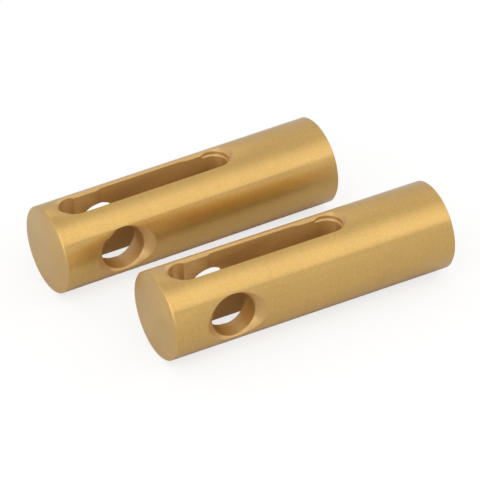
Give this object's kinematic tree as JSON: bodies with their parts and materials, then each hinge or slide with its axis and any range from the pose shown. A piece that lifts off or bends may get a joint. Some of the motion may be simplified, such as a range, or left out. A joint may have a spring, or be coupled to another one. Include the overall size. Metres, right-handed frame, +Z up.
{
  "type": "slotted barrel fittings",
  "caption": "Round gold-anodised bars, each slotted right through along its length, with a countersunk cross hole and a tapped end.",
  "frame": {"origin": "middle of the pair's footprint, on the surface that both barrels lie on", "axes": "+X along the front barrel from its plain end to its tapped end, +Y from the front barrel to the rear one, +Z up, along the slots' depth"},
  "size_m": [0.0734, 0.0536, 0.019],
  "materials": {
    "gold_anodise": "satin gold anodised over fine turning marks"
  },
  "bodies": {
    "front": {"front_barrel": "gold_anodise"},
    "rear": {"rear_barrel": "gold_anodise"}
  },
  "joints": [
    {"name": "rear_lift_off", "type": "slide", "parent": "front", "child": "rear", "axis": [0, 0, 1], "range_m": [0, 0.08]}
  ]
}
